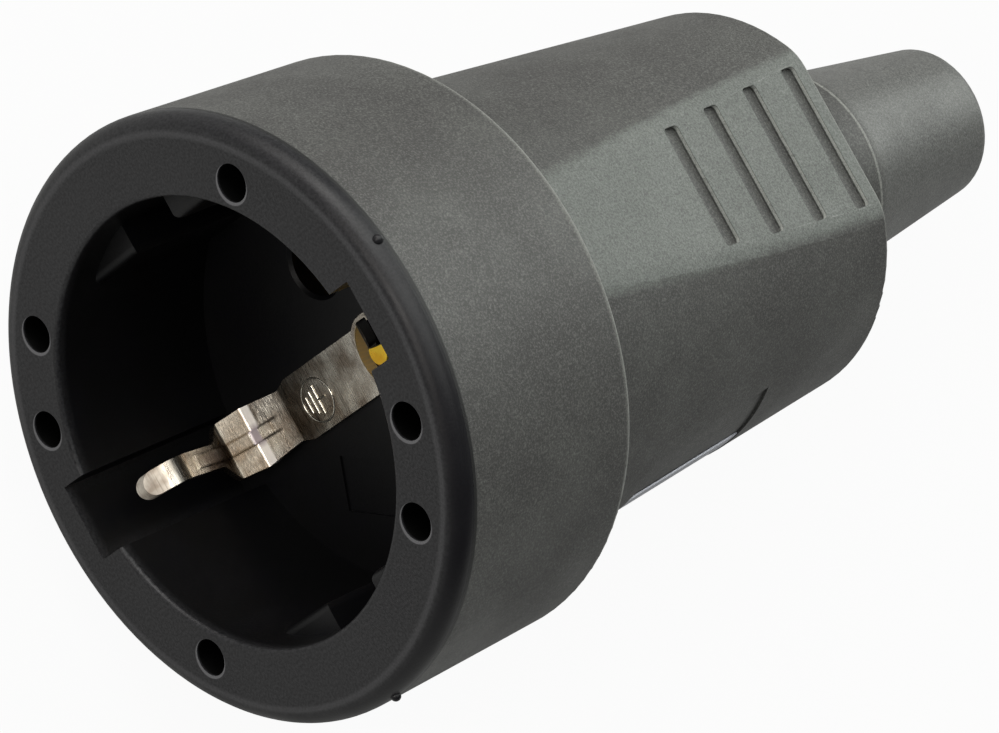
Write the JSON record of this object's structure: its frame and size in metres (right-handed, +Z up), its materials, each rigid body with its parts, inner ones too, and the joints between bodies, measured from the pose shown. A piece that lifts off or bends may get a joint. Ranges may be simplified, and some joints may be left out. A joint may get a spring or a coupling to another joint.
{
  "type": "in-line power socket",
  "caption": "In-line earthed power socket with a round recess, folded earth springs, a grey rubber body with grip flats and a cable sleeve.",
  "frame": {"origin": "on the surface that the socket lies on, under the middle of its length and on its middle plane", "axes": "+X along the length towards the cable end, +Y across through the pin holes, +Z up; the socket's own axis leans 12.2 degrees down towards the cable end"},
  "size_m": [0.0984, 0.0532, 0.0552],
  "materials": {
    "rubber": "dark grey soft rubber, faintly cloudy",
    "insert_plastic": "charcoal moulded plastic, fine grain",
    "carrier_plastic": "black moulded plastic",
    "plated_strip": "bright nickel-plated strip with brushed marks",
    "brass": "bare turned and milled brass",
    "zinc_steel": "zinc-plated steel",
    "label_foil": "plain silver-white foil"
  },
  "bodies": {
    "root": {"rubber_body": "rubber", "socket_insert": "insert_plastic", "contact_carrier": "carrier_plastic", "earth_bracket": "plated_strip", "earth_post": "brass", "earth_terminal": "brass", "line_contact_left": "brass", "line_contact_right": "brass", "contact_spring_left": "zinc_steel", "contact_spring_right": "zinc_steel", "line_terminal_left": "brass", "line_terminal_right": "brass", "terminal_screws": "zinc_steel", "carrier_screws": "zinc_steel", "cord_clamp_bar": "carrier_plastic", "cord_clamp_screws": "zinc_steel", "cord_clamp_nuts": "zinc_steel", "rating_label": "label_foil"}
  },
  "joints": []
}
